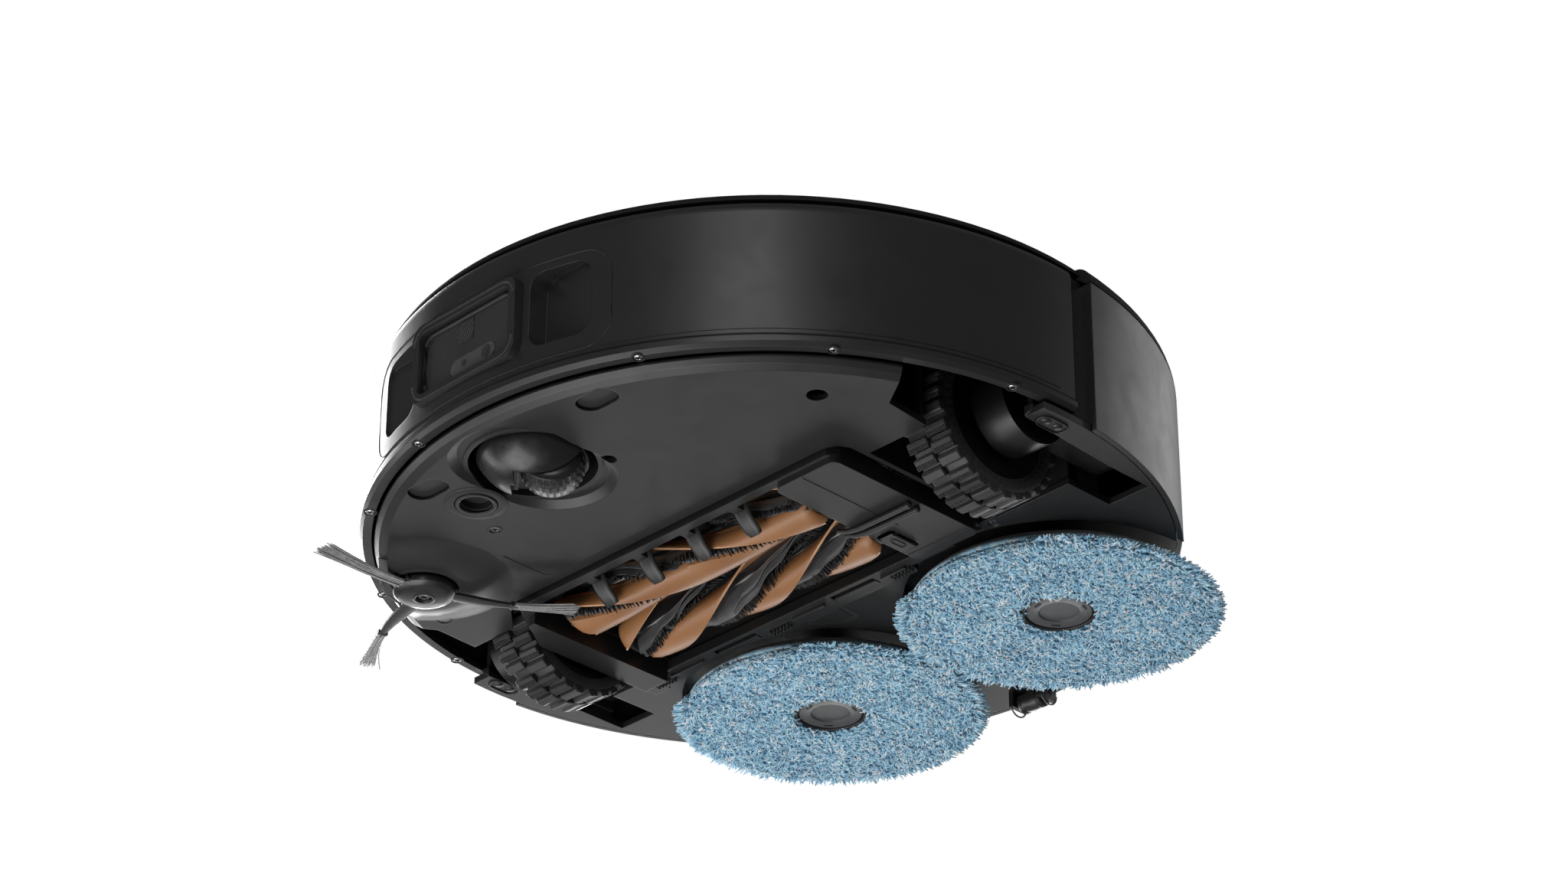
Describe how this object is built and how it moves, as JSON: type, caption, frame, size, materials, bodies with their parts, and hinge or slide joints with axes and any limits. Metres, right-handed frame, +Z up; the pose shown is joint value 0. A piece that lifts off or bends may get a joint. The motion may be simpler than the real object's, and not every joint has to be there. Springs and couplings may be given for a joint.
{
  "type": "robot vacuum and mop",
  "caption": "Round robot vacuum and mop with hanging sprung drive wheels, floor rollers under a guard, a side brush, turning mop pads, a front bumper and a rising laser turret.",
  "frame": {"origin": "under the middle of the round body, on the plane of the lowest point of the two hanging drive wheels", "axes": "+Z up out of the top, front towards -Y, so nodes and joints named left are on +X, the robot's own left"},
  "size_m": [0.3683, 0.3545, 0.1013],
  "materials": {
    "shell_plastic": "satin",
    "black_plastic": "satin",
    "grey_plastic": "satin",
    "gear_plastic": "satin",
    "smoked_plastic": "gloss",
    "window_plastic": "gloss",
    "board": "semi-gloss",
    "steel": "brushed",
    "screw_steel": "polished",
    "fin_rubber": "satin",
    "tread": "matte",
    "strap_rubber": "matte",
    "bristle": "matte",
    "pad_fabric": "pile",
    "filter_paper": "matte"
  },
  "bodies": {
    "chassis": {"base_plate": "shell_plastic", "rear_wall": "shell_plastic", "top_shell": "shell_plastic", "inner_deck": "grey_plastic", "brush_housing": "black_plastic", "brush_motor": "steel", "battery_pack": "grey_plastic", "main_board": "board", "fan_housing": "grey_plastic", "dust_duct": "black_plastic", "water_tank": "grey_plastic", "camera_module": "black_plastic", "floor_sensors": "black_plastic", "side_brush_motor": "steel", "charging_contacts": "steel", "base_screws": "screw_steel"},
    "bumper": {"bumper_shell": "shell_plastic", "window_frame": "black_plastic", "window_glass": "window_plastic", "bumper_screws": "screw_steel", "bumper_springs": "steel"},
    "lid": {"top_lid": "shell_plastic"},
    "bin": {"dustbin": "smoked_plastic", "bin_filter": "filter_paper"},
    "turret": {"lidar_turret": "black_plastic"},
    "scanner": {"lidar_head": "grey_plastic"},
    "power_key": {"power_button": "black_plastic"},
    "clean_key": {"clean_button": "black_plastic"},
    "dock_key": {"dock_button": "black_plastic"},
    "impeller": {"fan_impeller": "black_plastic"},
    "left_arm": {"wheel_arm_left": "black_plastic", "wheel_motor_left": "steel", "arm_spring_left": "steel"},
    "right_arm": {"wheel_arm_right": "black_plastic", "wheel_motor_right": "steel", "arm_spring_right": "steel"},
    "left_wheel": {"wheel_hub_left": "grey_plastic", "tyre_left": "tread"},
    "right_wheel": {"wheel_hub_right": "grey_plastic", "tyre_right": "tread"},
    "caster": {"caster_fork": "black_plastic"},
    "caster_roller": {"caster_wheel": "black_plastic"},
    "tail": {"tail_roller": "black_plastic"},
    "side_brush": {"side_brush_hub": "black_plastic", "side_brush_arms": "strap_rubber", "side_brush_bristles": "bristle"},
    "front_roller": {"front_roller_core": "black_plastic", "front_roller_fins": "fin_rubber"},
    "rear_roller": {"rear_roller_core": "black_plastic", "rear_roller_fins": "fin_rubber"},
    "idler": {"idler_gear": "gear_plastic"},
    "pinion": {"motor_pinion": "gear_plastic"},
    "guard": {"brush_guard": "shell_plastic"},
    "latches": {"guard_latch": "black_plastic"},
    "release": {"release_button": "shell_plastic"},
    "mop_lift": {"mop_lift_frame": "grey_plastic"},
    "left_mop": {"mop_plate_left": "black_plastic", "mop_pad_left": "pad_fabric"},
    "right_mop": {"mop_plate_right": "black_plastic", "mop_pad_right": "pad_fabric"}
  },
  "joints": [
    {"name": "bumper_press", "type": "slide", "parent": "chassis", "child": "bumper", "axis": [0, 1, 0], "range_m": [0, 0.0035], "stiffness_N_per_m": 500, "springref_m": -0.004, "deforming": ["bumper_springs"]},
    {"name": "left_suspension", "type": "hinge", "parent": "chassis", "child": "left_arm", "pos_m": [0.149, 0.05, 0.04], "axis": [-1, 0, 0], "range_deg": [0, 15], "stiffness_Nm_per_rad": 1, "springref_deg": -17.19, "deforming": ["arm_spring_left"]},
    {"name": "right_suspension", "type": "hinge", "parent": "chassis", "child": "right_arm", "pos_m": [-0.149, 0.05, 0.04], "axis": [-1, 0, 0], "range_deg": [0, 15], "stiffness_Nm_per_rad": 1, "springref_deg": -17.19, "deforming": ["arm_spring_right"]},
    {"name": "left_wheel_spin", "type": "hinge", "parent": "left_arm", "child": "left_wheel", "pos_m": [0.127, -0.004, 0.036], "axis": [1, 0, 0], "continuous": true},
    {"name": "right_wheel_spin", "type": "hinge", "parent": "right_arm", "child": "right_wheel", "pos_m": [-0.127, -0.004, 0.036], "axis": [1, 0, 0], "continuous": true},
    {"name": "caster_swivel", "type": "hinge", "parent": "chassis", "child": "caster", "pos_m": [-0.008, -0.129, 0.024], "axis": [0, 0, 1], "continuous": true},
    {"name": "caster_roll", "type": "hinge", "parent": "caster", "child": "caster_roller", "pos_m": [-0.002, -0.124, 0.024], "axis": [0.7071, -0.7071, 0], "continuous": true},
    {"name": "tail_roll", "type": "hinge", "parent": "chassis", "child": "tail", "pos_m": [0, 0.168, 0.0155], "axis": [1, 0, 0], "continuous": true},
    {"name": "side_brush_spin", "type": "hinge", "parent": "chassis", "child": "side_brush", "pos_m": [-0.114, -0.097, 0.018], "axis": [0, 0, 1], "continuous": true, "deforming": ["side_brush_bristles"]},
    {"name": "front_roller_spin", "type": "hinge", "parent": "chassis", "child": "front_roller", "pos_m": [-0.0195, -0.0268, 0.03], "axis": [1, 0, 0], "continuous": true},
    {"name": "rear_roller_spin", "type": "hinge", "parent": "chassis", "child": "rear_roller", "pos_m": [-0.0195, 0.0098, 0.03], "axis": [1, 0, 0], "continuous": true},
    {"name": "idler_spin", "type": "hinge", "parent": "chassis", "child": "idler", "pos_m": [0.0655, -0.0176, 0.0457], "axis": [1, 0, 0], "continuous": true},
    {"name": "pinion_spin", "type": "hinge", "parent": "chassis", "child": "pinion", "pos_m": [0.0655, 0.0006, 0.0457], "axis": [1, 0, 0], "continuous": true},
    {"name": "guard_release", "type": "slide", "parent": "chassis", "child": "guard", "axis": [0, 0, -1], "range_m": [0, 0.03]},
    {"name": "latch_slide", "type": "slide", "parent": "guard", "child": "latches", "axis": [0, -1, 0], "range_m": [0, 0.0024], "stiffness_N_per_m": 400, "springref_m": -0.002},
    {"name": "release_press", "type": "slide", "parent": "guard", "child": "release", "axis": [0, 0, 1], "range_m": [0, 0.0015], "stiffness_N_per_m": 500, "springref_m": -0.001},
    {"name": "mop_lift_slide", "type": "slide", "parent": "chassis", "child": "mop_lift", "axis": [0, 0, 1], "range_m": [0, 0.007]},
    {"name": "left_mop_spin", "type": "hinge", "parent": "mop_lift", "child": "left_mop", "pos_m": [0.07, 0.108, 0.0185], "axis": [0, 0, 1], "continuous": true},
    {"name": "right_mop_spin", "type": "hinge", "parent": "mop_lift", "child": "right_mop", "pos_m": [-0.07, 0.108, 0.0185], "axis": [0, 0, 1], "continuous": true},
    {"name": "lid_lift", "type": "slide", "parent": "chassis", "child": "lid", "axis": [0, 0, 1], "range_m": [0, 0.09]},
    {"name": "bin_lift", "type": "slide", "parent": "chassis", "child": "bin", "axis": [0, 0, 1], "range_m": [0, 0.045]},
    {"name": "turret_rise", "type": "slide", "parent": "chassis", "child": "turret", "axis": [0, 0, 1], "range_m": [0, 0.022]},
    {"name": "scanner_spin", "type": "hinge", "parent": "turret", "child": "scanner", "pos_m": [0, -0.015, 0.0735], "axis": [0, 0, 1], "continuous": true},
    {"name": "impeller_spin", "type": "hinge", "parent": "chassis", "child": "impeller", "pos_m": [0.069, 0.08, 0.075], "axis": [0, 0, 1], "continuous": true},
    {"name": "power_press", "type": "slide", "parent": "chassis", "child": "power_key", "axis": [0, 0, -1], "range_m": [0, 0.0008], "stiffness_N_per_m": 600, "springref_m": -0.001},
    {"name": "clean_press", "type": "slide", "parent": "chassis", "child": "clean_key", "axis": [0, 0, -1], "range_m": [0, 0.0008], "stiffness_N_per_m": 600, "springref_m": -0.001},
    {"name": "dock_press", "type": "slide", "parent": "chassis", "child": "dock_key", "axis": [0, 0, -1], "range_m": [0, 0.0008], "stiffness_N_per_m": 600, "springref_m": -0.001}
  ],
  "couplings": [
    {"joint": "idler_spin", "follows": "front_roller_spin", "ratio": -1},
    {"joint": "pinion_spin", "follows": "front_roller_spin", "ratio": 1},
    {"joint": "rear_roller_spin", "follows": "front_roller_spin", "ratio": -1},
    {"joint": "right_mop_spin", "follows": "left_mop_spin", "ratio": -1},
    {"joint": "bin_lift", "follows": "lid_lift", "ratio": 0.5}
  ]
}
